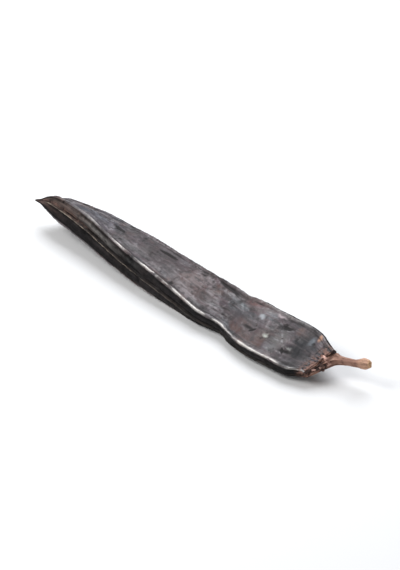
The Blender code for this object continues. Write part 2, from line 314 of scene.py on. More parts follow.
ring, ringAngle, ringLength = ringCurve(podForm, podForm["ringPoints"])
along = stationShares(podForm, podForm["stations"])
podPoints, creaseHeight = podSurface(podForm, along, ring)
# from the form's place to the frame's
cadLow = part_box("pod")[0]
podShift = np.array([cadLow.x / mm, cadLow.y / mm - podPoints[..., 1].min(), 0.0])

alongShare, acrossShare, upShare = np.broadcast_arrays(along[:, None], ring[:, 0], ring[:, 1])
skinPlace = patternPlace(alongShare * podForm["bodyLength"], ringLength / math.tau, ringAngle)
margin = smoothStep(*podForm["marginAcross"], np.abs(acrossShare))
bead = onBead(podForm, acrossShare, upShare, podForm["crestAt"], podForm["crestLineReach"])
suture = bell(upShare, 0.0, podForm["sutureReach"]) * margin
# furrows inside the beads and grooves along the margins, where the skin is painted with shade
furrow = bell(np.abs(acrossShare), *podForm["furrow"]) * (1 - margin)
for height, reach, depth in podForm["grooves"]:
    furrow = np.maximum(furrow, bell(np.abs(upShare), height, reach) * margin)
podSkin = ringMesh("podSkin", podPoints, podShift, {
    "place": skinPlace, "alongShare": alongShare, "acrossShare": acrossShare, "upShare": upShare,
    "margin": margin, "bead": bead, "suture": suture, "crease": creaseHeight, "furrow": furrow,
})
print("pod form", len(podSkin.data.polygons), "faces")


# The stalk's form: it starts with the shape of the pod's slanted end and turns round

stalkForm = {
    "path": (
        (0.0, (0.0, -1.6, 8.2)), (0.16, (1.3, 0.8, 8.6)), (0.32, (3.2, 3.1, 9.0)),
        (0.48, (6.6, 4.6, 9.5)), (0.66, (11.0, 5.5, 10.3)), (0.84, (15.6, 6.3, 11.5)),
        (1.0, (19.6, 7.1, 12.8)),
    ),
    "length": 20.0,
    "radii": (
        (0.0, 2.9), (0.2, 2.75), (0.36, 2.35), (0.5, 1.85), (0.66, 1.62), (0.8, 1.7), (0.9, 2.2),
        (0.955, 2.15), (1.0, 1.8),
    ),
    "roundAt": 0.42, "gap": 0.3, "flutes": 5, "fluteDepth": 0.07, "crowding": 0.9,
    # share along, degrees round from the top, height, reach along and round
    "scars": ((0.4, 20.0, 0.7, 0.8, 32.0), (0.9, -15.0, 0.8, 0.9, 34.0), (0.88, 150.0, 0.6, 0.9, 36.0)),
    # share along whose radius sizes the bark's pattern
    "patternShare": 0.3,
    "rings": 170,
    # the broken end: rings drawn in towards the middle, as share of the size and millimetres outwards
    "brokenEnd": ((0.93, 0.22), (0.8, 0.35), (0.6, 0.42), (0.4, 0.36), (0.2, 0.42)),
}


def stalkSurface(form, podEnd, turn):
    share = np.linspace(0.0, 1.0, form["rings"]) ** form["crowding"]
    path = keyed(form["path"], share) + np.array([podForm["bodyLength"], 0.0, 0.0])
    tangent = unit(np.gradient(path, axis=0))
    level = unit(np.cross([0.0, 0.0, 1.0], tangent))
    upright = np.cross(tangent, level)
    fluted = 1 + form["fluteDepth"] * np.cos(form["flutes"] * turn)
    radius = keyed(form["radii"], share)[:, None] * fluted
    for place, degrees, height, alongReach, roundReach in form["scars"]:
        fromTop = np.degrees(np.angle(np.exp(1j * (turn - math.pi / 2 + math.radians(degrees)))))
        standing = bell((share - place) * form["length"], 0.0, alongReach)[:, None]
        radius += height * standing * bell(fromTop, 0.0, roundReach)[None, :]
    tube = path[:, None, :] + (radius * np.cos(turn))[:, :, None] * level[:, None, :]
    tube += (radius * np.sin(turn))[:, :, None] * upright[:, None, :]
    across, up = sectionFrame(podForm, np.array([1.0]))
    outward = unit(np.cross(across[0], up[0]))
    fan = podEnd[None, :, :] + (path - path[0])[:, None, :] + outward * form["gap"]
    roundness = ramp(0.0, form["roundAt"], share)
    roundness = (roundness * (2 - roundness))[:, None, None]
    rings = (1 - roundness) * fan + roundness * tube
    middle = rings[-1].mean(axis=0)
    broken = [middle + (rings[-1] - middle) * size + tangent[-1] * out for size, out in form["brokenEnd"]]
    return np.concatenate([rings, np.array(broken)]), np.concatenate([share, np.ones(len(broken))])


stalkPoints, stalkShare = stalkSurface(stalkForm, podPoints[-1], ring[:, 2])
stalkAlong = stalkShare[:, None] * np.ones(stalkPoints.shape[:2])
stalkRadius = keyed(stalkForm["radii"], stalkForm["patternShare"])[0]
nowhere, cut = np.zeros_like(stalkAlong), np.zeros_like(stalkAlong)
cut[stalkForm["rings"]:] = 1.0
stalkBark = ringMesh("stalkBark", stalkPoints, podShift, {
    "place": patternPlace(stalkAlong * stalkForm["length"], stalkRadius, ring[:, 2]),
    "alongShare": stalkAlong, "cut": cut, "margin": nowhere, "bead": nowhere,
})
print("stalk form", len(stalkBark.data.polygons), "faces")


# Geometry Nodes: fine relief of a dried surface, scattered flakes, and the thread along a suture

# a tree with a mesh in, a mesh out and named inputs; what adds a node, the inputs, and what it reads
def geometryTree(name, inputs, reads=()):
    tree = bpy.data.node_groups.new(name, "GeometryNodeTree")
    tree.interface.new_socket("Geometry", in_out="INPUT", socket_type="NodeSocketGeometry")
    kinds = {float: "NodeSocketFloat", int: "NodeSocketInt", bpy.types.Material: "NodeSocketMaterial"}
    for label, value in inputs.items():
        kind = next(socket for held, socket in kinds.items() if isinstance(value, held))
        tree.interface.new_socket(label, in_out="INPUT", socket_type=kind)
    tree.interface.new_socket("Geometry", in_out="OUTPUT", socket_type="NodeSocketGeometry")
    add = partial(addNode, tree)
    read = [add("GeometryNodeInputNamedAttribute", {"Name": label}, data_type="FLOAT") for label in reads]
    return tree, add, tree.nodes.new("NodeGroupInput").outputs, read


def applyTree(piece, tree, values):  # runs the tree on the piece and keeps the result as a plain mesh
    modifier = piece.modifiers.new(tree.name, "NODES")
    modifier.node_group = tree
    for item in tree.interface.items_tree:
        if item.in_out == "INPUT" and item.name in values:
            modifier[item.identifier] = values[item.name]
    graph = bpy.context.evaluated_depsgraph_get()
    result = piece.evaluated_get(graph)
    made = bpy.data.meshes.new_from_object(result, preserve_all_data_layers=True, depsgraph=graph)
    piece.modifiers.remove(modifier)
    piece.data = made
    made.name = piece.name


# real faces, none below the floor, and the material, and another on the margins if given
def finishTree(add, geometry, material, marginMaterial=None):
    geometry = add("GeometryNodeRealizeInstances", {"Geometry": geometry})
    position = add("GeometryNodeInputPosition")
    axes = add("ShaderNodeSeparateXYZ", (position,)).node.outputs
    above = add("ShaderNodeMath", (axes["Z"], 0.0), operation="MAXIMUM")
    raised = add("ShaderNodeCombineXYZ", (axes["X"], axes["Y"], above))
    geometry = add("GeometryNodeSetPosition", {"Geometry": geometry, "Position": raised})
    geometry = add("GeometryNodeSetShadeSmooth", {"Geometry": geometry})
    geometry = add("GeometryNodeSetMaterial", {"Geometry": geometry, "Material": material})
    if marginMaterial:
        margin = add("GeometryNodeInputNamedAttribute", {"Name": "margin"}, data_type="FLOAT")
        onMargin = add("FunctionNodeCompare", (margin, 0.5), operation="GREATER_THAN", data_type="FLOAT")
        geometry = add("GeometryNodeSetMaterial", {
            "Geometry": geometry, "Selection": onMargin, "Material": marginMaterial,
        })
    add("NodeGroupOutput", {"Geometry": geometry})


# spread and move of the folded noise: its highs stand above the skin and its folds lie below it
foldSpread, foldShift = 2.4, -0.4


def wrinkles(add, place, seed, long, wide, height):  # noise stretched along and folded into creases
    perLong, perWide = [add("ShaderNodeMath", (1.0, size), operation="DIVIDE") for size in (long, wide)]
    scale = add("ShaderNodeCombineXYZ", (perLong, perWide, perWide))
    stretched = add("ShaderNodeVectorMath", (place, scale), operation="MULTIPLY")
    noise = add("ShaderNodeTexNoise", {
        "Vector": stretched, "W": seed, "Scale": 1.0, "Detail": 3.0, "Roughness": 0.55, "Distortion": 0.3,
    }, noise_dimensions="4D")
    signed = add("ShaderNodeMath", (noise, 2.0, -1.0), operation="MULTIPLY_ADD")
    folded = add("ShaderNodeMath", (signed,), operation="ABSOLUTE")
    centred = add("ShaderNodeMath", (folded, foldSpread, foldShift), operation="MULTIPLY_ADD")
    return add("ShaderNodeMath", (centred, height), operation="MULTIPLY")


def unevenness(add, place, seed, size, height, detail):  # rounded noise of one size
    scale = add("ShaderNodeMath", (1.0, size), operation="DIVIDE")
    noise = add("ShaderNodeTexNoise", {
        "Vector": place, "W": seed, "Scale": scale, "Detail": detail,
    }, noise_dimensions="4D")
    centred = add("ShaderNodeMath", (noise, -0.5), operation="ADD")
    return add("ShaderNodeMath", (centred, height), operation="MULTIPLY")


# pits: share of a cell's reach where one begins and is deepest, and share of cells without one;
# cracks: their reach from the edges of the plates, as a share of the plates' size
reliefPattern = {"pit": (0.26, 0.06), "cellsWithout": 0.6, "crackReach": 0.1}


def reliefTree(values, pattern):
    tree, add, given, (share, bead) = geometryTree("driedRelief", values, ("alongShare", "bead"))
    seed = given["Seed"]
    place = add("GeometryNodeInputNamedAttribute", {"Name": "place"}, data_type="FLOAT_VECTOR")
    parts = [
        wrinkles(add, place, seed, *[given[f"{kind} {side}"] for side in ("Length", "Width", "Height")])
        for kind in ("Wrinkle", "Cross")
    ]
    for kind, detail in (("Dimple", 2.0), ("Grain", 3.0)):
        parts.append(unevenness(add, place, seed, given[f"{kind} Size"], given[f"{kind} Height"], detail))
    # pits: only some cells of a Voronoi pattern have one
    perPit = add("ShaderNodeMath", (1.0, given["Pit Spacing"]), operation="DIVIDE")
    cells = add("ShaderNodeTexVoronoi", {"Vector": place, "Scale": perPit})
    inPit = add("ShaderNodeMapRange", (cells, *pattern["pit"]), **smoothEdge)
    cellRandom = add("ShaderNodeSeparateXYZ", (cells.node.outputs["Color"],), out="X")
    chosen = add("ShaderNodeMath", (cellRandom, pattern["cellsWithout"]), operation="GREATER_THAN")
    # cracks between plates of skin, over one stretch of the length
    perCrack = add("ShaderNodeMath", (1.0, given["Crack Size"]), operation="DIVIDE")
    edges = add("ShaderNodeTexVoronoi", {"Vector": place, "Scale": perCrack}, feature="DISTANCE_TO_EDGE")
    inCrack = add("ShaderNodeMapRange", (edges, pattern["crackReach"], 0.0), **smoothEdge)
    cracked = add("ShaderNodeMapRange", (share, given["Crack From"], given["Crack To"]), **smoothEdge)
    # the beads rise and dip along the margins
    kink = unevenness(add, place, seed, given["Kink Length"], given["Kink Height"], 2.0)
    for part, *factors in (
        (inPit, chosen, given["Pit Height"]), (inCrack, cracked, given["Crack Height"]), (kink, bead),
    ):
        for factor in factors:
            part = add("ShaderNodeMath", (part, factor), operation="MULTIPLY")
        parts.append(part)
    total = parts[0]
    for part in parts[1:]:
        total = add("ShaderNodeMath", (total, part), operation="ADD")
    fade = add("ShaderNodeMapRange", (share, given["Fade From"], given["Fade To"]), **smoothEdge)
    total = add("ShaderNodeMath", (total, fade), operation="MULTIPLY")
    metres = add("ShaderNodeMath", (total, mm), operation="MULTIPLY")
    normal = add("GeometryNodeInputNormal")
    offset = add("ShaderNodeVectorMath", {0: normal, "Scale": metres}, operation="SCALE")
    geometry = add("GeometryNodeStoreNamedAttribute", {
        "Geometry": given["Geometry"], "Name": "relief", 3: total,
    }, data_type="FLOAT", domain="POINT")
    geometry = add("GeometryNodeSetPosition", {"Geometry": geometry, "Offset": offset})
    finishTree(add, geometry, given["Material"], given["Margin Material"])
    return tree


# most turn in radians, smallest and largest share of the size, and bends of the edge per length
flakePattern = {"turn": 0.7, "smallest": 0.45, "largest": 1.4, "bends": 1.3}


def flakeTree(values, pattern):  # closed chips scattered over a stretch of the surface, lying along it
    tree, add, given, (share, margin) = geometryTree("loosenedFlakes", values, ("alongShare", "margin"))
    seed = given["Seed"]
    begun = add("ShaderNodeMath", (share, given["From Share"]), operation="GREATER_THAN")
    ended = add("ShaderNodeMath", (share, given["To Share"]), operation="LESS_THAN")
    onFace = add("ShaderNodeMath", (1.0, margin), operation="SUBTRACT")
    density = given["Per Square Metre"]
    for factor in (begun, ended, onFace):
        density = add("ShaderNodeMath", (density, factor), operation="MULTIPLY")
    points = add("GeometryNodeDistributePointsOnFaces", {
        "Mesh": given["Geometry"], "Density": density, "Seed": seed,
    })
    turned = add("FunctionNodeAlignRotationToVector", {
        "Rotation": points.node.outputs["Rotation"], "Vector": (1.0, 0.0, 0.0),
    }, axis="X", pivot_axis="Z")
    tilt = given["Tilt"]
    least = add("ShaderNodeMath", (tilt, -1.0), operation="MULTIPLY")
    low = add("ShaderNodeCombineXYZ", (least, least, -pattern["turn"]))
    high = add("ShaderNodeCombineXYZ", (tilt, tilt, pattern["turn"]))
    euler = add("FunctionNodeRandomValue", {0: low, 1: high, "Seed": seed}, data_type="FLOAT_VECTOR")
    tilted = add("FunctionNodeEulerToRotation", (euler,))
    turned = add("FunctionNodeRotateRotation", (turned, tilted), rotation_space="LOCAL")
    size = add("FunctionNodeRandomValue", {
        2: pattern["smallest"], 3: pattern["largest"], "Seed": seed,
    }, out=1, data_type="FLOAT")
    chip = add("ShaderNodeCombineXYZ", (given["Length"], given["Width"], given["Thickness"]))
    chip = add("ShaderNodeVectorMath", {0: chip, "Scale": 0.5 * mm}, operation="SCALE")
    chip = add("ShaderNodeVectorMath", {0: chip, "Scale": size}, operation="SCALE")
    lens = add("GeometryNodeMeshIcoSphere", {"Subdivisions": 2})
    placed = add("GeometryNodeInstanceOnPoints", {
        "Points": points, "Instance": lens, "Rotation": turned, "Scale": chip,
    })
    real = add("GeometryNodeRealizeInstances", {"Geometry": placed})
    perBend = add("ShaderNodeMath", (pattern["bends"] / mm, given["Length"]), operation="DIVIDE")
    where = add("GeometryNodeInputPosition")
    noise = add("ShaderNodeTexNoise", {"Vector": where, "Scale": perBend}, out="Color")
    ragged = add("ShaderNodeVectorMath", (noise, (-0.5, -0.5, -0.5)), operation="ADD")
    amount = add("ShaderNodeMath", (given["Raggedness"], mm), operation="MULTIPLY")
    offset = add("ShaderNodeVectorMath", {0: ragged, "Scale": amount}, operation="SCALE")
    real = add("GeometryNodeSetPosition", {"Geometry": real, "Offset": offset})
    finishTree(add, real, given["Material"])
    return tree


# noise values at the thinnest and thickest places, their shares of the thickness, and sides
threadPattern = {"noise": (0.36, 0.6), "swell": (0.25, 1.35), "sides": 6}


def threadTree(values, pattern):  # a thin uneven thread along a line of edges
    tree, add, given = geometryTree("sutureThread", values)[:3]
    where = add("GeometryNodeInputPosition")
    perSize = add("ShaderNodeMath", (1.0 / mm, given["Unevenness Length"]), operation="DIVIDE")
    noise = add("ShaderNodeTexNoise", {
        "Vector": where, "W": given["Seed"], "Scale": perSize, "Detail": 3.0,
    }, noise_dimensions="4D")
    swell = add("ShaderNodeMapRange", (noise, *pattern["noise"], *pattern["swell"]))
    radius = add("ShaderNodeMath", (given["Thickness"], 0.5 * mm), operation="MULTIPLY")
    radius = add("ShaderNodeMath", (radius, swell), operation="MULTIPLY")
    curve = add("GeometryNodeMeshToCurve", {"Mesh": given["Geometry"]})
    circle = add("GeometryNodeCurvePrimitiveCircle", {"Resolution": pattern["sides"]})
    tube = add("GeometryNodeCurveToMesh", {
        "Curve": curve, "Profile Curve": circle, "Scale": radius, "Fill Caps": True,
    })
    finishTree(add, tube, given["Material"])
    return tree


# Materials

def newMaterial(name, reads=()):  # a material, its shader, what adds a node to it, and what it reads
    material = bpy.data.materials.new(name)
    material.use_nodes = True
    add = partial(addNode, material.node_tree)
    read = {label: add("ShaderNodeAttribute", attribute_name=label, out="Fac") for label in reads}
    return material, material.node_tree.nodes["Principled BSDF"], add, read


# the ground's colour and roughness, then each layer's where its mask is 1, and a fine bump;
# a tone is the name of a finish, or a colour and a roughness
def paint(add, shader, look, ground, layers, height=None):
    tint, roughness = look["finishes"][ground]
    colour = linearColour(tint)
    for mask, tone in layers:
        tint, rough = look["finishes"].get(tone, tone)
        mixed = {0: mask, 6: colour, 7: linearColour(tint)}
        colour = add("ShaderNodeMix", mixed, out=2, data_type="RGBA")
        roughness = add("ShaderNodeMix", {0: mask, 2: roughness, 3: rough}, data_type="FLOAT")
    links = shader.id_data.links
    links.new(colour, shader.inputs["Base Color"])
    links.new(roughness, shader.inputs["Roughness"])
    shader.inputs["Specular IOR Level"].default_value = look["specular"]
    if height:
        bump = add("ShaderNodeBump", {
            "Strength": look["bumpStrength"], "Distance": look["bumpDepth"] * mm, "Height": height,
        })
        links.new(bump, shader.inputs["Normal"])


# soft-edged patches: size in millimetres, and the noise values where they begin and are full
def patches(add, vector, size, low, high, strength=1.0, detail=3.0):
    noise = add("ShaderNodeTexNoise", {"Vector": vector, "Scale": 1.0 / size, "Detail": detail})
    return add("ShaderNodeMapRange", (noise, low, high, 0.0, strength), **smoothEdge)


def streaks(add, vector, length, width, low, high, strength=1.0):  # patches stretched along the piece
    thin = (1.0 / length, 1.0 / width, 1.0 / width)
    stretched = add("ShaderNodeVectorMath", (vector, thin), operation="MULTIPLY")
    return patches(add, stretched, 1.0, low, high, strength, detail=5.0)


placedCore = 0.1  # share of a placed patch's reach within which it is full


def placedLayers(add, shares, stainsAndPaintedLight):  # a paint layer for each soft patch at its own place, stains and painted light among them
    layers = []
    for along, across, reachAlong, reachAcross, strength, tint, rough in stainsAndPaintedLight:
        perReach = (1.0 / reachAlong, 1.0 / reachAcross, 0.0)
        far = add("ShaderNodeVectorMath", (shares, (-along, -across, 0.0)), operation="ADD")
        far = add("ShaderNodeVectorMath", (far, perReach), operation="MULTIPLY")
        far = add("ShaderNodeVectorMath", (far,), out="Value", operation="LENGTH")
        mask = add("ShaderNodeMapRange", (far, 1.0, placedCore, 0.0, strength), **smoothEdge)
        layers.append((mask, (tint, rough)))
    return layers


# dried carob skin: a leathery, waxy pod wall, near black; it has a dull grey sheen where it is smooth and
# none where it is dirty or cracked, so most of what the eye sees comes from the roughness; its creases and
# low places also carry painted shade, and its raised places and crests painted highlights
faceLook = {
    "name": "driedCarobSkin",
    "finishes": {
        "base": ("#2b2426", 0.41), "purple": ("#40343a", 0.38), "blueBlack": ("#1d1f25", 0.48),
        "brown": ("#4b3530", 0.46), "streak": ("#57484b", 0.34), "bloom": ("#675f60", 0.32),
        # bead: a pale line painted along the crests, part wear and part painted highlight
        "dull": ("#191415", 0.66), "bead": ("#d6d1cc", 0.28), "suture": ("#6d5344", 0.6),
        # crease: painted shade in creases, furrows, grooves and low places
        "crease": ("#0f0b0a", 0.9), "collar": ("#84655a", 0.8),
    },
    # tone, where its noise is read, size or length and width in millimetres, noise values, strength
    "patches": (
        ("purple", "here", 8.0, 0.42, 0.62), ("blueBlack", "elsewhere", 8.0, 0.5, 0.68),
        ("brown", "farther", 10.4, 0.52, 0.7),
    ),
    "streaks": (
        ("streak", "here", 14.0, 1.4, 0.48, 0.66, 0.6), ("dull", "farther", 14.0, 1.4, 0.52, 0.66, 0.6),
    ),
    "spots": (("bloom", "farther", 3.2, 0.5, 0.7, 0.3), ("dull", "elsewhere", 2.6, 0.5, 0.66, 0.6)),
    "lineBreaks": (9.0, 2.0, 0.4, 0.6, 0.85),
    "collarFrom": 0.968, "collarPatches": (1.8, 0.42, 0.55),
    # pale crests of the beads, part wear and part painted highlight: streaks of it, less near the beak and
    # on the rear margin, and gaps in it by share along and reach, with what stays there
    "wearAndHighlight": (6.0, 1.4, 0.36, 0.54, 0.95),
    "wearAndHighlightFromBeak": (0.14, 0.3, 0.15, 1.0), "wearAndHighlightToRear": (-0.5, 0.5, 1.0, 0.15),
    "wearAndHighlightGaps": ((0.255, 0.05), (0.365, 0.045), (0.475, 0.012), (0.655, 0.018), (0.93, 0.02)),
    "wearAndHighlightInGaps": 0.15,
    # how far noise moves the edges of the stains, in shares, and its size in millimetres
    "waver": (0.02, 0.35, 0.0), "waverSize": 4.0,
    # under the streaks: share along, share on the second axis, reach on both, strength, colour, roughness;
    # the pale grey and blue-grey ones near the stalk half are painted highlights, and the last darkens the
    # skin by the stalk end
    "tintAxis": "acrossShare",
    "tints": (
        (0.18, 0.0, 0.12, 1.4, 0.5, "#474b57", 0.34), (0.25, 0.1, 0.03, 0.4, 0.5, "#23242c", 0.7),
        (0.41, 0.1, 0.14, 1.3, 0.8, "#32272a", 0.6), (0.55, 0.0, 0.11, 1.3, 0.65, "#4c332f", 0.5),
        (0.75, 0.75, 0.09, 0.4, 0.35, "#7a5650", 0.46), (0.79, 0.2, 0.06, 0.8, 0.45, "#767174", 0.32),
        (0.715, 0.36, 0.025, 0.3, 0.45, "#7f868a", 0.32), (0.8, 0.66, 0.045, 0.22, 0.45, "#7c8186", 0.32),
        (0.86, -0.55, 0.025, 0.3, 0.35, "#7f868a", 0.32), (0.92, 0.0, 0.03, 1.0, 0.7, "#0a0c10", 0.92),
    ),
    # over the streaks, in the same form: stains, whose pale specks are painted highlights and whose
    # darkest darken the skin by the stalk end
    "stainsAndPaintedLight": (
        (0.42, 0.1, 0.13, 1.3, 0.35, "#2c2324", 0.74), (0.725, -0.2, 0.045, 0.8, 0.55, "#352c32", 0.5),
        (0.795, -0.2, 0.045, 0.8, 0.5, "#3f373b", 0.42), (0.872, -0.1, 0.03, 0.8, 0.4, "#72716f", 0.34),
        (0.94, 0.0, 0.04, 1.3, 0.75, "#111318", 0.8),
        (0.945, 0.5, 0.01, 0.3, 0.45, "#7c868f", 0.4), (0.957, 0.84, 0.009, 0.2, 0.75, "#c39375", 0.6),
        (0.83, -0.2, 0.013, 0.17, 0.8, "#b5b9b0", 0.45), (0.909, -0.2, 0.014, 0.07, 0.45, "#9a9c98", 0.45),
        (0.783, 0.39, 0.014, 0.16, 0.7, "#a3a8ad", 0.4), (0.832, 0.77, 0.024, 0.08, 0.7, "#b3a5a8", 0.4),
    ),
    # painted sheen on raised places and painted shade in creases and low places: the height in millimetres
    # where it begins and is full
    "heights": (
        ("relief", 0.12, 0.42, 0.4, "bloom"), ("crease", 0.15, 0.45, 0.6, "bloom"),
        ("relief", -0.1, -0.3, 0.9, "crease"), ("crease", -0.25, -0.5, 0.9, "crease"),
    ),
    "specular": 0.5, "bumpSize": 0.35, "bumpStrength": 0.6, "bumpDepth": 0.06,
}

# the same skin on the margins, matt, with darker colours that paint the shade they lie in; browner at the
# beak
marginLook = {
    **faceLook,
    "name": "mattShadedMarginSkin",
    "finishes": {
        "base": ("#100d0d", 0.62), "purple": ("#181315", 0.58), "blueBlack": ("#0b0b0d", 0.7),
        "brown": ("#1c1412", 0.66), "streak": ("#272020", 0.5), "bloom": ("#2a282a", 0.5),
        # bead: a pale line painted along the crests, part wear and part painted highlight
        "dull": ("#0a0808", 0.8), "bead": ("#bdb6b0", 0.32), "suture": ("#40352f", 0.6),
        # crease: painted shade in creases, furrows, grooves and low places
        "crease": ("#050404", 0.95), "collar": ("#84655a", 0.8),
    },
    "spots": (("bloom", "farther", 3.2, 0.5, 0.7, 0.2), ("dull", "elsewhere", 2.6, 0.5, 0.66, 0.6)),
    "tintAxis": "upShare",
    # near the beak: partly the skin's own browner tone, partly painted light, lighter on the upper side of
    # the margin where light falls and at the tip
    "tints": (
        (0.12, 0.6, 0.22, 0.75, 0.9, "#54453f", 0.52), (0.1, 0.2, 0.12, 0.2, 0.85, "#86695e", 0.52),
        (0.03, 0.1, 0.07, 0.6, 0.7, "#6a524c", 0.6), (0.24, 0.5, 0.12, 0.34, 0.75, "#686663", 0.44),
        (0.36, 0.55, 0.06, 0.25, 0.4, "#4a4a48", 0.5), (0.07, -0.4, 0.08, 0.4, 0.6, "#3a2a26", 0.65),
        (0.02, -0.1, 0.035, 0.5, 0.5, "#8c736e", 0.5),
    ),
    # painted shade: the underside of the margin painted near black
    "stainsAndPaintedLight": ((0.25, -0.65, 0.25, 0.55, 0.7, "#050404", 0.92),),
    "specular": 0.2,
}


noiseOffsets = {"elsewhere": (31.0, 7.0, 3.0), "farther": (67.0, 2.0, 9.0)}  # millimetres


def skinMaterial(look):
    reads = ("alongShare", "acrossShare", "upShare", "relief", "crease", "bead", "suture", "furrow")
    material, shader, add, read = newMaterial(look["name"], reads)
    place = add("ShaderNodeAttribute", attribute_name="place", out="Vector")
    where = {"here": place}
    for name, offset in noiseOffsets.items():
        where[name] = add("ShaderNodeVectorMath", (place, offset), operation="ADD")
    layers = [(patches(add, where[spot], *sizes), tone) for tone, spot, *sizes in look["patches"]]

    # tints and stains at their own places, their edges moved a little by noise; among them are painted
    # highlights and painted shade
    noise = {"Vector": place, "Scale": 1.0 / look["waverSize"], "Detail": 4.0}
    waver = add("ShaderNodeTexNoise", noise, out="Color")
    waver = add("ShaderNodeVectorMath", (waver, (-0.5, -0.5, -0.5)), operation="ADD")
    waver = add("ShaderNodeVectorMath", (waver, look["waver"]), operation="MULTIPLY")
    shares = add("ShaderNodeCombineXYZ", (read["alongShare"], read[look["tintAxis"]], 0.0))
    shares = add("ShaderNodeVectorMath", (shares, waver), operation="ADD")
    layers += placedLayers(add, shares, look["tints"])

    # fine streaks and small patches over both, then the stains and painted highlights that lie over them
    layers += [(streaks(add, where[spot], *sizes), tone) for tone, spot, *sizes in look["streaks"]]
    layers += [(patches(add, where[spot], *sizes), tone) for tone, spot, *sizes in look["spots"]]
    layers += placedLayers(add, shares, look["stainsAndPaintedLight"])

    # furrows and grooves painted dark as shade, painted shade in the creases and low places and painted
    # sheen on raised places, and the suture line
    lineBreaks = streaks(add, place, *look["lineBreaks"])
    layers.append((add("ShaderNodeMath", (read["furrow"], lineBreaks), operation="MULTIPLY"), "crease"))
    for height, low, high, strength, tone in look["heights"]:
        mask = add("ShaderNodeMapRange", (read[height], low, high, 0.0, strength), **smoothEdge)
        layers.append((mask, tone))
    layers.append((add("ShaderNodeMath", (read["suture"], lineBreaks), operation="MULTIPLY"), "suture"))

    # the pale crests of the beads: wear, and a painted highlight along them
    wearAndHighlight = streaks(add, where["elsewhere"], *look["wearAndHighlight"])
    limits = [
        add("ShaderNodeMapRange", (read["alongShare"], *look["wearAndHighlightFromBeak"]), **smoothEdge),
        add("ShaderNodeMapRange", (read["acrossShare"], *look["wearAndHighlightToRear"])),
    ]
    for gapAt, reach in look["wearAndHighlightGaps"]:
        apart = add("ShaderNodeMath", (read["alongShare"], gapAt), operation="SUBTRACT")
        apart = add("ShaderNodeMath", (apart,), operation="ABSOLUTE")
        limits.append(add("ShaderNodeMapRange", (apart, reach / 2, reach, look["wearAndHighlightInGaps"], 1.0)))
    for limit in (*limits, read["bead"]):
        wearAndHighlight = add("ShaderNodeMath", (wearAndHighlight, limit), operation="MULTIPLY")
    layers.append((wearAndHighlight, "bead"))

    # brown loosened skin next to the stalk
    ending = add("ShaderNodeMapRange", (read["alongShare"], look["collarFrom"], 1.0), **smoothEdge)
    brown = patches(add, place, *look["collarPatches"])
    layers.append((add("ShaderNodeMath", (ending, brown), operation="MULTIPLY"), "collar"))

    grain = add("ShaderNodeTexNoise", {"Vector": place, "Scale": 1.0 / look["bumpSize"], "Detail": 3.0})
    paint(add, shader, look, "base", layers, grain)
    return material


# stalk bark: dry woody fibres, tan where the dark outer skin is gone, paler where it broke, with painted
# shade in its low places
barkLook = {
    "name": "dryStalkBark",
    "finishes": {
        "brown": ("#7a584a", 0.72), "tan": ("#a67f6e", 0.7), "pale": ("#cdab98", 0.68),
        "skin": ("#3f2c27", 0.6), "dark": ("#2e1b15", 0.85), "knob": ("#d2a88c", 0.75),
        "cut": ("#d6ad88", 0.8),
    },
    # length and width, or size, in millimetres, then the noise values where each begins and is full
    "fibres": (9.0, 0.5, 0.35, 0.65), "paleStreaks": (4.0, 0.9, 0.55, 0.72, 0.7),
    "remains": (1.8, 0.44, 0.56, 1.0, 4.0),
    # share along, or height in millimetres, where each begins and is full, and its strength at both
    "fan": (0.42, 0.12, 0.0, 1.0), "knob": (0.78, 0.92, 0.0, 0.6), "lowPlacesShade": (-0.02, -0.22, 0.0, 0.9),
    "specular": 0.35, "bumpStrength": 0.8, "bumpDepth": 0.08,
}


def barkMaterial(look):
    material, shader, add, read = newMaterial(look["name"], ("alongShare", "relief", "cut"))
    place = add("ShaderNodeAttribute", attribute_name="place", out="Vector")
    fibres = streaks(add, place, *look["fibres"])
    pale = streaks(add, place, *look["paleStreaks"])
    # dark remains of skin over the fan
    fan = add("ShaderNodeMapRange", (read["alongShare"], *look["fan"]), **smoothEdge)
    remains = patches(add, place, *look["remains"])
    remains = add("ShaderNodeMath", (fan, remains), operation="MULTIPLY")
    # painted shade: the bark's low places painted dark
    low = add("ShaderNodeMapRange", (read["relief"], *look["lowPlacesShade"]), **smoothEdge)
    knob = add("ShaderNodeMapRange", (read["alongShare"], *look["knob"]))
    paint(add, shader, look, "brown", [
        (fibres, "tan"), (pale, "pale"), (remains, "skin"), (knob, "knob"), (low, "dark"),
        (read["cut"], "cut"),
    ], fibres)
    return material


# thin dry scraps of skin and bark, matt and a little paler than what they come off: two tones in patches
# of a few millimetres, and on the threads a third, darker, that comes in along the pod as painted shade
scrapEdge = (0.38, 0.62)
chipLook = {
    "name": "peelingSkinFlakes", "size": 1.2, "specular": 0.35,
    "finishes": {"first": ("#332a2a", 0.55), "second": ("#5e5553", 0.45)},
}
flakeLook = {
    "name": "loosenedBarkFlakes", "size": 1.6, "specular": 0.35,
    "finishes": {"first": ("#6c4b3f", 0.75), "second": ("#cda597", 0.7)},
}
threadLook = {
    "name": "sutureFibre", "size": 2.4, "specular": 0.35, "fadeFrom": -50.0, "fadeTo": 10.0,
    "finishes": {"first": ("#40372f", 0.6), "second": ("#75695d", 0.6), "faded": ("#1e1c1b", 0.6)},
}


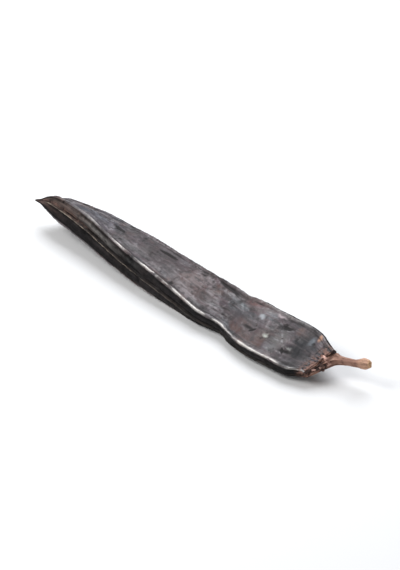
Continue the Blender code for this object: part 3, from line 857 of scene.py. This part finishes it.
def scrapMaterial(look):
    material, shader, add = newMaterial(look["name"])[:3]
    coords = add("ShaderNodeTexCoord", out="Object")
    inMm = add("ShaderNodeVectorMath", {0: coords, "Scale": 1.0 / mm}, operation="SCALE")
    layers = [(patches(add, inMm, look["size"], *scrapEdge), "second")]
    # painted shade: the thread darkens along the pod towards the stalk
    if "faded" in look["finishes"]:
        along = add("ShaderNodeSeparateXYZ", (inMm,), out="X")
        layers.append((add("ShaderNodeMapRange", (along, look["fadeFrom"], look["fadeTo"])), "faded"))
    paint(add, shader, look, "first", layers)
    return material


facePaint = skinMaterial(faceLook)
marginPaint = skinMaterial(marginLook)
barkPaint = barkMaterial(barkLook)
chipPaint = scrapMaterial(chipLook)
flakePaint = scrapMaterial(flakeLook)
threadPaint = scrapMaterial(threadLook)
print("materials made")


# Pod skin, with its fine relief

skinRelief = {
    "Wrinkle Length": 11.0, "Wrinkle Width": 2.2, "Wrinkle Height": 0.24,
    "Cross Length": 2.8, "Cross Width": 3.4, "Cross Height": 0.16,
    "Dimple Size": 5.5, "Dimple Height": 0.75, "Grain Size": 1.2, "Grain Height": 0.15,
    "Pit Spacing": 5.0, "Pit Height": -0.2,
    "Crack Size": 2.2, "Crack Height": -0.35, "Crack From": 0.955, "Crack To": 1.0,
    "Kink Length": 5.0, "Kink Height": 0.55, "Fade From": -0.02, "Fade To": 0.03,
    "Seed": 4, "Material": facePaint, "Margin Material": marginPaint,
}
reliefNodes = reliefTree(skinRelief, reliefPattern)
applyTree(podSkin, reliefNodes, skinRelief)
print("pod skin", len(podSkin.data.polygons), "faces")

# Stalk bark: the same tree with finer, longer ridges

barkRelief = {
    "Wrinkle Length": 9.0, "Wrinkle Width": 0.9, "Wrinkle Height": 0.2,
    "Cross Length": 1.2, "Cross Width": 2.5, "Cross Height": 0.06,
    "Dimple Size": 2.2, "Dimple Height": 0.45, "Grain Size": 0.5, "Grain Height": 0.12,
    "Pit Spacing": 3.0, "Pit Height": -0.2,
    "Crack Size": 2.0, "Crack Height": -0.4, "Crack From": 0.34, "Crack To": 0.1,
    "Kink Length": 6.0, "Kink Height": 0.0, "Fade From": -0.05, "Fade To": 0.02,
    "Seed": 9, "Material": barkPaint, "Margin Material": barkPaint,
}
applyTree(stalkBark, reliefNodes, barkRelief)
print("stalk bark", len(stalkBark.data.polygons), "faces")


# Flakes on the fan, chips of skin on the pod, and threads along the sutures

fanFlakes = {
    "From Share": 0.0, "To Share": 0.3, "Per Square Metre": 120000.0, "Tilt": 0.25,
    "Length": 3.4, "Width": 1.9, "Thickness": 0.34, "Raggedness": 0.9, "Seed": 3, "Material": flakePaint,
}
skinChips = {
    "From Share": 0.05, "To Share": 0.99, "Per Square Metre": 14000.0, "Tilt": 0.15,
    "Length": 0.9, "Width": 0.45, "Thickness": 0.12, "Raggedness": 0.4, "Seed": 6, "Material": chipPaint,
}
flakeNodes = flakeTree(fanFlakes, flakePattern)
barkFlakes = newObject("barkFlakes", stalkBark.data.copy())
applyTree(barkFlakes, flakeNodes, fanFlakes)
podChips = newObject("podChips", podSkin.data.copy())
applyTree(podChips, flakeNodes, skinChips)
print("flakes", len(barkFlakes.data.polygons) + len(podChips.data.polygons), "faces")

sutureThread = {"Thickness": 0.38, "Unevenness Length": 3.0, "Seed": 2, "Material": threadPaint}
threadSpan = (0.03, 0.94)  # shares along
sutureColumns = {"frontSuture": 0, "rearSuture": int(np.argmax(ring[:, 0] - np.abs(ring[:, 1])))}
threadNodes = threadTree(sutureThread, threadPattern)
skinCo = np.zeros(len(podSkin.data.vertices) * 3)
podSkin.data.vertices.foreach_get("co", skinCo)
skinCo = skinCo.reshape(-1, 3)[:len(along) * len(ring)].reshape(len(along), len(ring), 3)
kept = (along > threadSpan[0]) & (along < threadSpan[1])
scraps = [(barkFlakes, "stalk_bark"), (podChips, "pod_skin")]
for label, column in sutureColumns.items():
    line = skinCo[kept, column]
    mesh = bpy.data.meshes.new(label)
    mesh.from_pydata(line.tolist(), [(i, i + 1) for i in range(len(line) - 1)], [])
    thread = newObject(label, mesh)
    applyTree(thread, threadNodes, sutureThread)
    scraps.append((thread, "pod_skin"))
print("suture threads made")

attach(podSkin, bodyName)
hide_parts("pod")
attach(stalkBark, bodyName)
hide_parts("stalk")
for piece, slotName in scraps:
    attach(piece, bodyName)


# Floor, light and camera

# matt painted board: it takes only a soft shadow
floorLook = {
    "size": 3.0,
    "finish": {"Base Color": linearColour("#dcdcdc"), "Roughness": 0.9, "Specular IOR Level": 0.2},
}


def makeFloor(look):
    half = look["size"] / 2
    corners = [(-half, -half, 0), (half, -half, 0), (half, half, 0), (-half, half, 0)]
    mesh = bpy.data.meshes.new("floor")
    mesh.from_pydata(corners, [], [(0, 1, 2, 3)])
    floor = newObject("floor", mesh)
    material, shader = newMaterial("paleBoard")[:2]
    for name, value in look["finish"].items():
        shader.inputs[name].default_value = value
    mesh.materials.append(material)


# degrees, metres, the sensor in millimetres, and the share of the picture's width that the pod spans
view = {
    "azimuth": 41.2, "elevation": 38.0, "distance": 2.2,
    "sensor": 36.0, "image": (400, 570), "span": 0.84,
}


def directionFrom(azimuth, elevation):  # unit vector towards that azimuth and elevation
    a, e = math.radians(azimuth), math.radians(elevation)
    return Vector((math.sin(a) * math.cos(e), -math.cos(a) * math.cos(e), math.sin(e)))


def aimAt(thing, place, target):
    thing.location = place
    thing.rotation_euler = (target - place).to_track_quat("-Z", "Y").to_euler()


def makeCamera(look):
    back = directionFrom(look["azimuth"], look["elevation"])
    right = directionFrom(look["azimuth"] + 90.0, 0.0)
    upward = back.cross(right)
    points = np.concatenate([podPoints.reshape(-1, 3), stalkPoints.reshape(-1, 3)])
    points = (points + podShift) * mm
    flat = np.stack([points @ np.array(right), points @ np.array(upward)], axis=1)
    low, high = flat.min(axis=0), flat.max(axis=0)
    middle = (low + high) / 2
    target = right * middle[0] + upward * middle[1]
    width, height = look["image"]
    pictureHeight = (high[0] - low[0]) / look["span"] * height / width
    camera = newObject("camera", bpy.data.cameras.new("camera"))
    camera.data.sensor_width = look["sensor"]
    camera.data.lens = look["sensor"] * look["distance"] / pictureHeight
    aimAt(camera, target + back * look["distance"], target)
    bpy.context.scene.camera = camera
    return target


# azimuth and elevation as for the camera, distance and size in metres, power in watts
lights = {
    "overheadSoftbox": {
        "azimuth": 205.0, "elevation": 56.0, "distance": 0.9,
        "size": 0.8, "power": 11.0, "colour": "#f7faff",
    },
    "sideSoftbox": {
        "azimuth": -40.0, "elevation": 46.0, "distance": 0.9,
        "size": 0.5, "power": 6.0, "colour": "#ffffff",
    },
}
worldLook = {"colour": "#ffffff", "strength": 0.25}


def makeLights(target):
    for label, look in lights.items():
        data = bpy.data.lights.new(label, "AREA")
        data.shape = "DISK"
        data.size = look["size"]
        data.energy = look["power"]
        data.color = linearColour(look["colour"])[:3]
        away = directionFrom(look["azimuth"], look["elevation"]) * look["distance"]
        aimAt(newObject(label, data), target + away, target)
    world = bpy.data.worlds.new("studio")
    world.use_nodes = True
    background = world.node_tree.nodes["Background"]
    background.inputs["Color"].default_value = linearColour(worldLook["colour"])
    background.inputs["Strength"].default_value = worldLook["strength"]
    bpy.context.scene.world = world


makeFloor(floorLook)
makeLights(makeCamera(view))
bpy.context.scene.view_settings.view_transform = "Standard"
print("floor, light and camera set")
